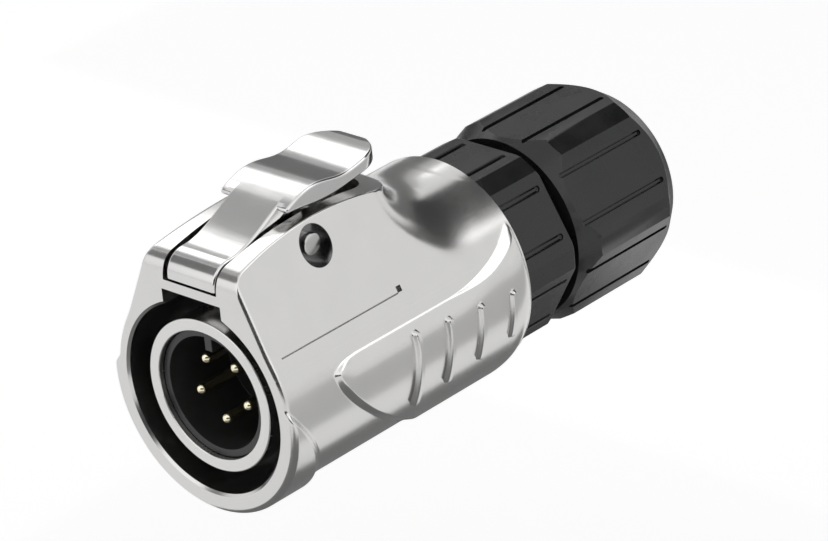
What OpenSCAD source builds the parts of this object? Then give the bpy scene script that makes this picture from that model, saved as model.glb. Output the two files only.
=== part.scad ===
// Latched circular plug: die-cast shell with push latch, five male contacts, hexagonal rear body, cable nut.
// The plug's axis is Y, its mating face is the plane y = 0, and the cable leaves along +Y.
// The latch is on top, towards +Z.

/* [Shell] */
// Radius of the round shell
body_r = 9; // [8.7:0.05:9.3]
// Length of the shell along its axis
shell_len = 27.5; // [27:0.1:28.5]
// Radius of the raised front collar
collar_r = 9.5; // [9.2:0.05:9.8]
// Length of the collar at the bottom
collar_len = 5.3; // [4.5:0.1:6]
// Radius of the curve that ends the collar, seen from the side
collar_sweep_r = 18.8; // [16:0.2:21]
// Height of the centre of that curve, below the axis
collar_sweep_z = -11.4; // [-12.5:0.1:-10.5]
// Rounding of the shell's rear edge
rear_round = 0.4; // [0.2:0.05:0.6]

/* [Mouth] */
// Radius of the mouth that takes the socket's ring
mouth_r = 7.85; // [7.6:0.05:8]
// Depth of the mouth
mouth_depth = 9.5; // [9:0.1:10]
// Bevel of the mouth's edge
mouth_bevel = 0.2; // [0.1:0.05:0.3]
// Half-width of the keyway at the top of the mouth
keyway_half_w = 3.05; // [2.8:0.05:3.2]
// Height of the keyway's roof above the axis
keyway_z = 8.55; // [8.4:0.05:8.65]
// Depth of the keyway
keyway_depth = 6; // [5.6:0.1:6.4]

/* [Latch tower] */
// Lean of the flat sides from upright, in degrees
flat_tilt = 25; // [23:0.5:27]
// How far the flat sides cut into the round shell
flat_cut = 0.05; // [0.04:0.01:0.1]
// Greatest height of the tower's walls above the axis
tower_z = 12.43; // [12.3:0.01:12.46]
// Place of that height along the axis
crown_y = 10; // [9.5:0.1:10.5]
// Radius of the walls' crowned top
crown_r = 36; // [32:1:45]
// Rounding of the tower's upper front edge
tower_front_r = 1.8; // [1.5:0.1:2.1]
// Length of the hollow behind the tower
cove_len = 6.6; // [6.3:0.1:6.9]
// Height over which that hollow curves up to the tower's upright back
cove_rise = 3.1; // [2.9:0.1:3.3]
// Place along the axis where that hollow runs out into the barrel
cove_end_y = 25.3; // [25:0.1:25.5]
// Rounding between the hollow and the flat sides
cove_edge_r = 3; // [2.7:0.1:3.2]
// Height of the pocket's floor
pocket_z = 9.35; // [9.2:0.05:9.45]
// Rear end of the pocket between the walls
pocket_end_y = 17.3; // [17:0.05:17.4]
// Corner radius of the pocket
pocket_corner_r = 2.1; // [1.6:0.1:2.3]
// Length of the bar under the lever's nose
bridge_len = 1.6; // [1.4:0.05:1.8]
// Length of the window for the lever's hook
window_len = 3.4; // [3.1:0.1:3.8]
// Diameter of the recess round the pin's end
pin_recess_d = 3.1; // [2.8:0.1:3.4]
// Distance of that recess's floor from the middle plane
pin_recess_x = 3.9; // [3.7:0.05:4.1]

/* [Grip panels] */
// Radius of the raised grip panel
panel_r = 9.37; // [9.25:0.02:9.5]
// Foremost point of the panel along the axis
panel_tip_y = 5.4; // [5:0.1:6]
// Height of that point above the axis
panel_tip_z = 2; // [1.8:0.1:2.2]
// Height of the panel's straight upper edge
panel_top_z = 2.95; // [2.8:0.05:3.1]
// Length of the panel's rounded nose
panel_nose = 3.1; // [2.6:0.1:3.6]
// Place where the upper edge starts to rise
panel_rise_y = 18.5; // [17.5:0.1:19.5]
// Radius of the rising part of the upper edge
panel_rise_r = 16; // [14:0.5:20]
// Reach of the lower edge for each unit of drop
panel_sweep = 0.31; // [0.28:0.01:0.34]
// Exponent of the lower edge
panel_power = 1.57; // [1.5:0.01:1.64]
// Length over which the panel rounds in at the rear
panel_rear_len = 2; // [1.5:0.1:2.5]
// How far it rounds in
panel_rear_drop = 0.6; // [0.4:0.05:0.65]
// Number of grip ribs on each side
rib_count = 4; // [2:1:4]
// Place of the first rib along the axis
rib_y = 14.02; // [13.6:0.02:14.4]
// Pitch of the ribs
rib_pitch = 3.66; // [3.3:0.02:3.76]
// Width of a rib
rib_w = 0.72; // [0.6:0.02:0.84]
// Height of the first rib above the panel
rib_h = 0.46; // [0.36:0.02:0.54]
// Loss of height from each rib to the next
rib_fall = 0.06; // [0:0.01:0.08]
// Upper end of the first rib, in degrees above the level of the axis
rib_top = 11.3; // [10:0.1:12.5]
// Lower end of the first rib, in degrees below the level of the axis
rib_bottom = 23.2; // [21:0.2:25]
// Shortening of each further rib at its upper end, in degrees
rib_step = 2.3; // [1.8:0.1:2.8]
// Shortening at the lower end, as a share of that at the upper one
rib_taper = 1.05; // [0.9:0.05:1.15]
// Lean of the ribs from upright, in degrees
rib_lean = 4; // [0:0.5:6]

/* [Latch lever] */
// Half-width of the lever between the walls
lever_half_w = 2.5; // [2.4:0.02:2.55]
// Gap between the lever and each wall
lever_gap = 0.28; // [0.2:0.02:0.35]
// Half-width of the push pad
pad_half_w = 3.5; // [3.2:0.05:3.7]
// Place where the pad starts
pad_start_y = 7.5; // [7.2:0.05:7.8]
// Rear end of the pad
pad_end_y = 18.85; // [18.5:0.05:19.2]
// Corner radius of the pad's end
pad_corner_r = 3; // [2.5:0.1:3.1]
// Height of the pad's underside above the axis
pad_under_z = 12.86; // [12.84:0.01:12.95]
// Place along the axis where that underside is lowest
pad_under_y = 12; // [11.5:0.1:12.5]
// Rise of the underside towards the front of the pad
pad_under_rise = 0.34; // [0.28:0.02:0.4]
// Thickness of the pad at its end
pad_t = 1.18; // [1.05:0.01:1.25]
// Thickness of the lever between the walls
lever_t = 1.15; // [1.05:0.01:1.2]
// Setback of the lever's nose behind the mating face
lever_nose_y = 0.12; // [0.1:0.02:0.2]
// Gap between the lever's nose and the bar under it
lever_nose_gap = 0.15; // [0.12:0.01:0.2]
// Height of the lever's top at its nose
lever_low_z = 11.5; // [11.4:0.02:11.6]
// Rounding of the nose
lever_nose_r = 1.8; // [1.6:0.05:2]
// Height of the lever's hump
hump_z = 14.5; // [14.4:0.05:14.7]
// Place of the hump
hump_y = 10.75; // [10.4:0.05:11]
// Depth of the dip behind the hump
dip_depth = 0.4; // [0.3:0.05:0.5]
// Place of the dip
dip_y = 14; // [13.7:0.1:14.3]
// Rise of the pad's end above the dip
curl_rise = 0.48; // [0.4:0.02:0.6]
// Place where that rise is complete
curl_y = 17.6; // [17.2:0.1:18]
// Place of the pivot along the axis
pivot_y = 8.73; // [8.6:0.02:8.9]
// Height of the pivot
pivot_z = 10.54; // [10.5:0.02:10.6]
// Diameter of the pivot pin
pin_d = 1.5; // [1.4:0.02:1.6]
// Projection of the pin's end from its recess's floor
pin_proud = 0.3; // [0.2:0.05:0.5]
// Radius of the lever's boss round the pin
boss_r = 1.3; // [1.2:0.02:1.35]
// Clearance of a running fit, on the radius
run_fit = 0.04; // [0.03:0.01:0.06]
// Clearance of a tight fit, on the radius
tight_fit = 0.02; // [0.01:0.005:0.03]
// Half-width of the hook
hook_half_w = 1.8; // [1.6:0.05:1.9]
// Clearance of the hook in its window
hook_gap = 0.55; // [0.5:0.01:0.6]
// Thickness of the hook along the axis
hook_t = 1.4; // [1.2:0.05:1.6]
// How far the hook reaches below the pocket's floor
hook_reach = 1.65; // [1.5:0.05:1.8]

/* [Latch spring] */
// Place of the spring along the axis
spring_y = 12.6; // [12.3:0.1:12.9]
// Diameter of the spring's coil, outside
spring_d = 2.6; // [2.4:0.05:2.8]
// Diameter of the spring's wire
spring_wire = 0.4; // [0.34:0.02:0.46]
// Number of turns
spring_turns = 5; // [4:1:6]
// Depth of the spring's seat below the pocket's floor
spring_seat = 0.5; // [0.4:0.05:0.6]

/* [Barrel and insert] */
// Outer radius of the barrel
barrel_r = 6.3; // [6.2:0.02:6.4]
// Radius of the barrel's shank behind the gasket's front
shank_r = 6.55; // [6.52:0.01:6.6]
// Inner radius of the barrel
barrel_bore_r = 5.28; // [5.2:0.02:5.36]
// Setback of the barrel's end behind the mating face
barrel_setback = 0.72; // [0.6:0.02:0.9]
// Thickness of the shell's web that carries the barrel
web_t = 2.5; // [2.3:0.1:2.8]
// Radius of the barrel's flange
flange_r = 7.2; // [7:0.05:7.3]
// Thickness of that flange
flange_t = 1.4; // [1.2:0.05:1.6]
// Setback of the insert's end behind the barrel's end
insert_setback = 0.5; // [0.4:0.05:0.7]
// Wall of the insert's cup
cup_wall = 0.6; // [0.5:0.02:0.7]
// Depth of the cup from the insert's end
cup_depth = 6.3; // [5.9:0.1:6.7]
// Width of the key rib
key_w = 0.75; // [0.6:0.05:0.9]
// Height of the key rib
key_h = 1.1; // [0.9:0.05:1.2]
// Radius of the insert's rear flange
insert_flange_r = 6; // [5.8:0.05:6.2]
// Thickness of that flange
insert_flange_t = 1.2; // [1:0.05:1.4]
// Length of the retaining ring
ring_len = 1.6; // [1.4:0.1:1.8]
// Wall of the retaining ring
ring_wall = 2.2; // [2:0.05:2.4]

/* [Contacts] */
// Number of contacts
contact_count = 5; // [5]
// Radius of their pitch circle
pitch_r = 2.62; // [2.5:0.02:2.7]
// Diameter of a contact's pin
contact_d = 0.9; // [0.8:0.02:1]
// Diameter of a contact's body in the insert
contact_body_d = 1.3; // [1.2:0.02:1.4]
// Setback of the contacts' tips behind the mating face
contact_setback = 1.95; // [1.8:0.05:2.2]
// Diameter of a solder cup
solder_d = 1.7; // [1.6:0.02:1.8]
// Length of a solder cup behind the insert
solder_len = 3.6; // [3.2:0.1:3.8]
// Wall of a solder cup
solder_wall = 0.3; // [0.25:0.01:0.35]

/* [Seals] */
// Thickness of the gasket at the bottom of the mouth
gasket_t = 1; // [0.8:0.05:1.2]
// Wire radius of the seal round the barrel
barrel_seal_r = 0.4; // [0.36:0.01:0.44]
// Wire radius of the seal behind the shell
rear_seal_r = 0.33; // [0.3:0.01:0.36]
// Gap left round a seal
seal_gap = 0.03; // [0.02:0.01:0.05]

/* [Rear body] */
// Radius of the thread in the shell's rear
rear_thread_r = 7.4; // [7.3:0.02:7.5]
// Distance from the axis to the rear body's flats
rear_flat = 7.6; // [7.45:0.05:7.75]
// Distance from the axis to its corner facets
rear_corner = 8.27; // [8.15:0.02:8.4]
// Length of the hexagon between shell and nut
rear_hex_len = 6.3; // [6:0.1:7]
// Radius at which the hexagon's end is bevelled
rear_bevel_r = 8.1; // [8:0.02:8.15]
// Length of that bevel
rear_bevel = 0.35; // [0.2:0.05:0.5]
// Depth of the front spigot in the shell
spigot_len = 9; // [8.6:0.1:9.4]
// Bore of the rear body
rear_bore_r = 4.8; // [4.7:0.05:4.9]
// Bore that takes the collet
collet_seat_r = 5.4; // [5.3:0.02:5.5]
// Radius of the nut's thread
nut_thread_r = 6.6; // [6.5:0.02:6.7]
// Length of the nut's thread
nut_thread_len = 7.2; // [6.8:0.1:7.6]

/* [Gland nut] */
// Gap between the rear body and the nut
nut_gap = 1; // [0.8:0.05:1.2]
// Length of the nut
nut_len = 12.7; // [12.4:0.1:13]
// Distance from the axis to the nut's flats
nut_flat = 7.93; // [7.8:0.02:8.05]
// Distance from the axis to its corner facets
nut_corner = 8.63; // [8.5:0.02:8.75]
// Radius of the nut's front edge
nut_front_r = 7.7; // [7.6:0.02:7.75]
// Length of the nut's front cone up to its corners
nut_cone_len = 1.8; // [1.5:0.1:2]
// Radius of the nut's rear edge
nut_rear_r = 7.15; // [7:0.02:7.3]
// Length of the nut's rear cone from its corners
nut_rear_len = 2.3; // [2:0.1:2.6]
// Bevel of the nut's rear edge
nut_rear_bevel = 0.16; // [0.1:0.02:0.2]
// Radius of the cable's opening in the nut
cable_hole_r = 3.8; // [3.7:0.02:3.9]
// Thickness of the nut's end wall
nut_end_t = 2; // [1.9:0.05:2.1]
// Clearance of the nut's thread, on the radius
thread_gap = 0.1; // [0.08:0.01:0.12]

/* [Hexagon grooves] */
// Distance of a groove from the middle of its flat
groove_off = 2.1; // [2:0.02:2.2]
// Width of a groove
groove_w = 0.44; // [0.36:0.02:0.52]
// Depth of a groove
groove_depth = 0.22; // [0.15:0.01:0.28]
// Margin of the grooves from the ends of the nut's flats
groove_margin = 0.6; // [0.4:0.05:0.8]

/* [Cable clamp] */
// Radius of the cable that the grommet seals on
cable_r = 2.9; // [2.7:0.05:3]
// Outer radius of the grommet
grommet_r = 4.5; // [4.4:0.02:4.6]
// Length of the grommet
grommet_len = 6.6; // [6.2:0.1:7]
// Wall of the collet's ring
collet_wall = 0.65; // [0.55:0.02:0.7]
// Length of the collet's ring inside the rear body
collet_ring = 3; // [2.6:0.1:3.4]
// Length of the collet's fingers
collet_finger = 3; // [2.7:0.1:3.3]
// Number of fingers
finger_count = 8; // [6:1:10]
// Width of the slots between the fingers
finger_slot = 0.6; // [0.5:0.05:0.7]
// Thickness of the slip washer
washer_t = 0.6; // [0.5:0.02:0.7]
// Clearance between the clamp's parts
clamp_gap = 0.15; // [0.12:0.01:0.2]

/* [Hidden] */
$fn = 96;

// Overcut of a subtracted shape past the face that it opens
over = 1;
far = 4*collar_r;
flat_d = body_r - flat_cut;
slot_half_w = lever_half_w + lever_gap;
gasket_front = mouth_depth - gasket_t;
web_end = mouth_depth + web_t;
flange_end = web_end + flange_t;
insert_end = flange_end + insert_flange_t;
ring_end = insert_end + ring_len;
spigot_front = shell_len - spigot_len;
barrel_front = barrel_setback;
insert_front = barrel_front + insert_setback;
insert_r = barrel_bore_r - run_fit;
cup_r = insert_r - cup_wall;
cup_floor = insert_front + cup_depth;
hex_front = shell_len;
hex_end = hex_front + rear_hex_len;
nut_front = hex_end + nut_gap;
nut_end = nut_front + nut_len;
thread_end = hex_end + nut_thread_len;
washer_end = nut_end - nut_end_t;
washer_front = washer_end - washer_t;
finger_end = washer_front - clamp_gap;
finger_front = finger_end - collet_finger;
collet_front = finger_front - collet_ring;
collet_r = collet_seat_r - run_fit;
collet_bore_r = collet_r - collet_wall;
finger_tip_r = collet_r - collet_wall/2;
grommet_front = finger_end - grommet_len;
seat_r = collet_r;

// Stands a shape that is turned about Z on the plug's axis
module along_y() rotate([-90, 0, 0]) children();

// Solid of revolution about the plug's axis, from points [radius, place]
module turned(points) along_y() rotate_extrude() polygon(points);

// Round bar on the plug's axis between two places
module bar(r, y0, y1) translate([0, y0, 0]) along_y() cylinder(r = r, h = y1 - y0);

// Ring on the plug's axis between two places
module ring(r_out, r_in, y0, y1) turned([[r_in, y0], [r_out, y0], [r_out, y1], [r_in, y1]]);

// Side view [place, height] extended across the plug
module across(half_w) translate([-half_w, 0, 0]) rotate([90, 0, 90]) linear_extrude(2*half_w) children();

// Points of an arc about a centre
function arc(c, r, a0, a1, n) = [for (i = [0:n]) c + r*[cos(a0 + (a1 - a0)*i/n), sin(a0 + (a1 - a0)*i/n)]];

/* The shell's outside */

// Space between the two leaning flats
function flat_x(z) = (flat_d - z*sin(flat_tilt))/cos(flat_tilt);
module between_flats(y0, y1)
    translate([0, y1, 0]) rotate([90, 0, 0]) linear_extrude(y1 - y0)
        polygon([[-flat_x(-far), -far], [flat_x(-far), -far], [flat_x(tower_z), tower_z],
            [-flat_x(tower_z), tower_z]]);

module round_body()
    turned(concat([[0, 0], [body_r, 0]],
        arc([body_r - rear_round, shell_len - rear_round], rear_round, 0, 90, 6), [[0, shell_len]]));

// The collar's rear edge sweeps back towards the bottom
module collar()
    intersection() {
        bar(collar_r, 0, collar_len);
        translate([-far/2, collar_len - collar_sweep_r, collar_sweep_z])
            rotate([0, 90, 0]) cylinder(r = collar_sweep_r, h = far, $fn = 192);
        between_flats(-over, collar_len + over);
    }

// Seen from the side, the panel has a rounded nose, a straight top that rises at the rear
// and a curved lower edge
panel_drop = panel_tip_z + panel_r + over;
panel_outline = concat(
    [for (i = [0:14]) let (d = panel_drop*i/14)
        [panel_tip_y + panel_sweep*pow(d, panel_power), panel_tip_z - d]],
    [[shell_len + over, -panel_r - over]],
    arc([panel_rise_y, panel_top_z + panel_rise_r], panel_rise_r,
        -90 + asin((shell_len + over - panel_rise_y)/panel_rise_r), -90, 8),
    [for (i = [0:7]) let (a = 90 - 90*i/8)
        [panel_tip_y + panel_nose*(1 - cos(a)), panel_tip_z + (panel_top_z - panel_tip_z)*sin(a)]]);
module panel()
    intersection() {
        turned(concat([[0, 0], [panel_r, 0]],
            [for (i = [0:8]) let (a = 90*i/8) [panel_r - panel_rear_drop*(1 - cos(a)),
                shell_len - panel_rear_len*(1 - sin(a))]], [[0, shell_len]]));
        across(far) polygon(panel_outline);
    }

// Hollow behind the tower: rows follow its curve outwards from the barrel, columns lead from flat to flat.
// The rows start inside the barrel and the columns outside the flats, so that they meet at a clear angle.
cove_foot_r = body_r - 2*flat_cut;
cove_first = 14;
cove_rows = 8;
cove_curve = concat(
    [for (i = [0:cove_rows]) let (t = cove_first + (90 - cove_first)*i/cove_rows)
        [cove_foot_r + cove_rise*(1 - cos(t)), cove_end_y - cove_len*sin(t)]],
    [[tower_z + over, cove_end_y - cove_len]]);
cove_inner_r = body_r - 8*flat_cut;
cove_inner_y = cove_curve[0][1] + (cove_curve[0][0] - cove_inner_r)*cove_len/(cove_rise*tan(cove_first));
// Each column is a distance inside the flat and a drop towards the front
corner_last = 80;
corner_out = 4*flat_cut;
corner_in = cove_edge_r*(1 - sin(corner_last));
cove_corner = concat(
    [[-corner_out, cove_edge_r*(1 - cos(corner_last)) + (corner_out + corner_in)*tan(corner_last)]],
    [for (a = [corner_last:-10:0]) [cove_edge_r*(1 - sin(a)), cove_edge_r*(1 - cos(a))]]);
cove_middle = 5;
// Angle above +X of a point at a radius and a distance inside the flat
function flat_angle(r, inside) = flat_tilt + acos(min(1, (flat_d - inside)/r));
function half_columns(r) = [for (c = cove_corner) [flat_angle(r, c[0]), c[1]]];
function columns(r) = let (h = half_columns(r), last = h[len(h) - 1][0])
    concat(h, [for (i = [1:cove_middle]) [last + (180 - 2*last)*i/(cove_middle + 1), 0]],
        [for (i = [len(h) - 1:-1:0]) [180 - h[i][0], h[i][1]]]);
function cove_row(r, y, c) = [for (k = c) [r*cos(k[0]), y - k[1], r*sin(k[0])]];
cove_back = concat(
    cove_row(cove_inner_r, cove_inner_y, columns(cove_curve[0][0])),
    [for (row = cove_curve) each cove_row(row[0], row[1], columns(row[0]))]);
cove_n = 2*len(cove_corner) + cove_middle;
cove_m = len(cove_curve) + 1;
function back_at(i, j) = i*cove_n + j;
function front_at(i, j) = (cove_m + i)*cove_n + j;
function wall(a, b, fa, fb) = [a, b, fb, fa];
module tower_core()
    polyhedron(points = concat(cove_back, [for (p = cove_back) [p[0], -over, p[2]]]),
        faces = concat(
            [for (i = [0:cove_m - 2]) for (j = [0:cove_n - 2])
                [back_at(i, j), back_at(i + 1, j), back_at(i + 1, j + 1)]],
            [for (i = [0:cove_m - 2]) for (j = [0:cove_n - 2])
                [back_at(i, j), back_at(i + 1, j + 1), back_at(i, j + 1)]],
            [for (j = [0:cove_n - 2]) wall(back_at(0, j), back_at(0, j + 1),
                front_at(0, j), front_at(0, j + 1))],
            [for (j = [0:cove_n - 2]) wall(back_at(cove_m - 1, j + 1), back_at(cove_m - 1, j),
                front_at(cove_m - 1, j + 1), front_at(cove_m - 1, j))],
            [for (i = [0:cove_m - 2]) wall(back_at(i + 1, 0), back_at(i, 0),
                front_at(i + 1, 0), front_at(i, 0))],
            [for (i = [0:cove_m - 2]) wall(back_at(i, cove_n - 1), back_at(i + 1, cove_n - 1),
                front_at(i, cove_n - 1), front_at(i + 1, cove_n - 1))],
            [concat([for (j = [0:cove_n - 1]) front_at(0, j)],
                [for (i = [1:cove_m - 1]) front_at(i, cove_n - 1)],
                [for (j = [cove_n - 2:-1:0]) front_at(cove_m - 1, j)],
                [for (i = [cove_m - 2:-1:1]) front_at(i, 0)])]));
// Side view of the tower: upright front, small rounding and a crowned top that meets it smoothly
crown_c = [crown_y, tower_z - crown_r];
front_c = [tower_front_r,
    crown_c[1] + sqrt(pow(crown_r - tower_front_r, 2) - pow(crown_y - tower_front_r, 2))];
front_join = atan2(front_c[1] - crown_c[1], front_c[0] - crown_c[0]);
crown_sweep = front_join - acos((cove_end_y + over - crown_y)/crown_r);
tower_side = concat([[cove_end_y + over, 0], [0, 0]],
    arc(front_c, tower_front_r, 180, front_join, 8),
    [for (i = [1:14]) let (a = front_join - crown_sweep*i/14) crown_c + crown_r*[cos(a), sin(a)]]);
module tower()
    intersection() {
        tower_core();
        between_flats(-2*over, cove_end_y + over);
        across(far) polygon(tower_side);
    }

/* The shell's hollows */

module mouth() {
    bar(mouth_r, -over, mouth_depth);
    turned([[0, -mouth_bevel], [mouth_r + 2*mouth_bevel, -mouth_bevel],
        [mouth_r, mouth_bevel], [0, mouth_bevel]]);
    translate([-keyway_half_w, -over, 0]) cube([2*keyway_half_w, over + keyway_depth, keyway_z]);
}

barrel_groove_r = shank_r + 2*barrel_seal_r + 2*seal_gap;
barrel_groove_y = mouth_depth + web_t/2;
barrel_groove_half = barrel_seal_r + seal_gap;
rear_seat_r = rear_thread_r + 2*rear_seal_r + seal_gap;
rear_seat_len = 2*rear_seal_r + 2*seal_gap;
module shell_bores() {
    bar(shank_r + run_fit, 0, shell_len);
    ring(barrel_groove_r, 0, barrel_groove_y - barrel_groove_half, barrel_groove_y + barrel_groove_half);
    bar(rear_thread_r, web_end, shell_len + over);
    bar(rear_seat_r, shell_len - rear_seat_len, shell_len + over);
}

pocket_corner_x = slot_half_w - pocket_corner_r;
module pocket() {
    translate([0, 0, pocket_z]) linear_extrude(far) union() {
        translate([-slot_half_w, -over]) square([2*slot_half_w, over + pocket_end_y - pocket_corner_r]);
        for (s = [-1, 1])
            translate([s*pocket_corner_x, pocket_end_y - pocket_corner_r]) circle(r = pocket_corner_r);
        translate([-pocket_corner_x, 0]) square([2*pocket_corner_x, pocket_end_y]);
    }
    // Window for the hook, hollow for the boss and seat for the spring
    translate([-hook_half_w - lever_gap, bridge_len, 0])
        cube([2*(hook_half_w + lever_gap), window_len, far]);
    translate([0, pivot_y, pivot_z]) rotate([0, 90, 0])
        cylinder(r = boss_r + lever_gap, h = 2*slot_half_w, center = true);
    translate([0, spring_y, pocket_z - spring_seat]) cylinder(r = spring_d/2 + lever_gap, h = far);
}

module pin_holes() {
    translate([-far/2, pivot_y, pivot_z]) rotate([0, 90, 0]) cylinder(r = pin_d/2 + tight_fit, h = far);
    for (s = [-1, 1])
        translate([s*(pin_recess_x + far/4), pivot_y, pivot_z]) rotate([0, 90, 0])
            cylinder(d = pin_recess_d, h = far/2, center = true);
}

// Round-ended ribs that stand on the panel, seen from the side
function rib_low(i) = panel_r*sin(rib_step*rib_taper*i - rib_bottom);
function rib_high(i) = panel_r*sin(rib_top - rib_step*i);
module rib_outline(i)
    translate([rib_y + rib_pitch*i, 0]) rotate(-rib_lean) union() {
        translate([-rib_w/2, rib_low(i)]) square([rib_w, rib_high(i) - rib_low(i)]);
        for (z = [rib_low(i), rib_high(i)]) translate([0, z]) circle(d = rib_w, $fn = 24);
    }
module grip_ribs()
    for (i = [0:rib_count - 1]) intersection() {
        ring(panel_r + rib_h - rib_fall*i, body_r - rib_h, rib_y - over, shell_len);
        across(far) rib_outline(i);
    }

module shell() color("Silver") difference() {
    union() {
        round_body();
        collar();
        panel();
        grip_ribs();
        tower();
    }
    mouth();
    shell_bores();
    pocket();
    pin_holes();
}

/* Latch */

// Height of the lever's top along the axis: nose, ramp to the hump, dip and upward curl
function wave(u) = (1 - cos(180*min(max(u, 0), 1)))/2;
ramp_y = lever_nose_y + lever_nose_r;
function lever_top(y) =
    y < ramp_y ? lever_low_z - lever_nose_r + sqrt(max(0, pow(lever_nose_r, 2) - pow(ramp_y - y, 2)))
    : y < hump_y ? lever_low_z + (hump_z - lever_low_z)*wave((y - ramp_y)/(hump_y - ramp_y))
    : y < dip_y ? hump_z - dip_depth*wave((y - hump_y)/(dip_y - hump_y))
    : hump_z - dip_depth + curl_rise*wave((y - dip_y)/(curl_y - dip_y));
slope_step = 0.01;
function lever_normal(y) = let (s = (lever_top(y + slope_step) - lever_top(y - slope_step))/(2*slope_step))
    [-s, 1]/sqrt(1 + s*s);
nose_z = pocket_z + lever_nose_gap;
// The nose's arcs end just before the ramp begins
nose_last = 95;
run_y = [for (i = [0:20]) ramp_y + (hump_y - ramp_y)*i/20];
strip_outline = concat(
    [[lever_nose_y, nose_z]],
    arc([ramp_y, lever_low_z - lever_nose_r], lever_nose_r, 180, nose_last, 8),
    [for (y = run_y) [y, lever_top(y)]],
    [for (i = [20:-1:0]) [run_y[i], lever_top(run_y[i])] - lever_t*lever_normal(run_y[i])],
    arc([ramp_y, lever_low_z - lever_nose_r], lever_nose_r - lever_t, nose_last, 180, 4),
    [[lever_nose_y + lever_t, nose_z]]);
// The pad's underside is flatter than its top and keeps clear of the walls
pad_end_z = lever_top(pad_end_y) - pad_t;
function pad_under(y) = y < pad_under_y
    ? pad_under_z + pad_under_rise*wave((pad_under_y - y)/(pad_under_y - pad_start_y))
    : pad_under_z + (pad_end_z - pad_under_z)*wave((y - pad_under_y)/(curl_y - pad_under_y));
pad_y = [for (i = [0:28]) pad_start_y + (pad_end_y - pad_start_y)*i/28];
pad_outline = concat(
    [for (y = pad_y) [y, lever_top(y)]],
    [for (i = [28:-1:0]) [pad_y[i], pad_under(pad_y[i])]]);
pad_corner_x = pad_half_w - pad_corner_r;
module pad_plan()
    union() {
        translate([-pad_half_w, 0]) square([2*pad_half_w, pad_end_y - pad_corner_r]);
        for (s = [-1, 1])
            translate([s*pad_corner_x, pad_end_y - pad_corner_r]) circle(r = pad_corner_r);
        translate([-pad_corner_x, 0]) square([2*pad_corner_x, pad_end_y]);
    }
boss_half_w = lever_half_w - lever_gap/2;
boss_top_z = lever_top(pivot_y) - lever_t/2;
hook_front_y = bridge_len + hook_gap;
hook_rear_y = hook_front_y + hook_t;
hook_z = pocket_z - hook_reach;
hook_top_z = lever_low_z - lever_t/2;
module latch_lever() color("Gainsboro") difference() {
    union() {
        across(lever_half_w) polygon(strip_outline);
        intersection() {
            across(far) polygon(pad_outline);
            linear_extrude(far) pad_plan();
        }
        // Boss round the pin
        across(boss_half_w) union() {
            translate([pivot_y, pivot_z]) circle(r = boss_r);
            polygon([[pivot_y - boss_r, pivot_z], [pivot_y + boss_r, pivot_z],
                [pivot_y + boss_r, boss_top_z], [pivot_y - boss_r, boss_top_z - lever_t/2]]);
        }
        // Hook with a slanted lead-in and an upright catch
        across(hook_half_w) polygon([[hook_front_y, hook_top_z], [hook_front_y, pocket_z],
            [hook_front_y + hook_t/2, hook_z], [hook_rear_y, hook_z], [hook_rear_y, hook_top_z]]);
    }
    translate([-far/2, pivot_y, pivot_z]) rotate([0, 90, 0]) cylinder(r = pin_d/2 + run_fit, h = far);
}

pin_half_len = pin_recess_x + pin_proud;
module latch_pin() color("DimGray")
    translate([-pin_half_len, pivot_y, pivot_z]) rotate([0, 90, 0]) cylinder(d = pin_d, h = 2*pin_half_len);

// Coil between its seat and the underside of the pad, as a wire swept round a helix
spring_low_z = pocket_z - spring_seat + spring_wire/2;
spring_high_z = pad_under_z - spring_wire/2 - 2*seal_gap;
coil_r = (spring_d - spring_wire)/2;
coil_steps = 12;
wire_sides = 6;
coil_rings = spring_turns*coil_steps;
coil_points = [for (i = [0:coil_rings]) for (k = [0:wire_sides - 1])
    let (a = 360*i/coil_steps, b = 360*k/wire_sides, r = coil_r + spring_wire/2*cos(b))
        [r*cos(a), spring_y + r*sin(a),
            spring_low_z + (spring_high_z - spring_low_z)*i/coil_rings + spring_wire/2*sin(b)]];
module latch_spring() color("SlateGray")
    polyhedron(points = coil_points, faces = concat(
        [[for (k = [0:wire_sides - 1]) k]],
        [[for (k = [wire_sides - 1:-1:0]) coil_rings*wire_sides + k]],
        [for (i = [0:coil_rings - 1]) for (k = [0:wire_sides - 1]) let (a = i*wire_sides + k,
            b = i*wire_sides + (k + 1) % wire_sides) [b, a, a + wire_sides]],
        [for (i = [0:coil_rings - 1]) for (k = [0:wire_sides - 1]) let (a = i*wire_sides + k,
            b = i*wire_sides + (k + 1) % wire_sides) [b, a + wire_sides, b + wire_sides]]));

/* Barrel, insert and contacts */

module plug_barrel() color("LightGray") difference() {
    union() {
        bar(barrel_r, barrel_front, flange_end);
        bar(shank_r, gasket_front, flange_end);
        bar(flange_r, web_end, flange_end);
    }
    bar(barrel_bore_r, 0, flange_end + over);
}

function contact_angle(i) = 180 - 360/contact_count*i;
module at_contact(i) rotate([0, contact_angle(i), 0]) translate([0, 0, pitch_r]) children();

module contact_insert() color([0.08, 0.08, 0.08]) difference() {
    union() {
        bar(insert_r, insert_front, insert_end);
        bar(insert_flange_r, flange_end, insert_end);
    }
    difference() {
        bar(cup_r, 0, cup_floor);
        translate([-key_w/2, 0, cup_r - key_h]) cube([key_w, cup_floor, cup_r]);
    }
    for (i = [1:contact_count]) at_contact(i) {
        bar(contact_d/2 + tight_fit, cup_floor - over, insert_end + over);
        bar(contact_body_d/2 + tight_fit, cup_floor + contact_body_d, insert_end + over);
    }
}

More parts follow.
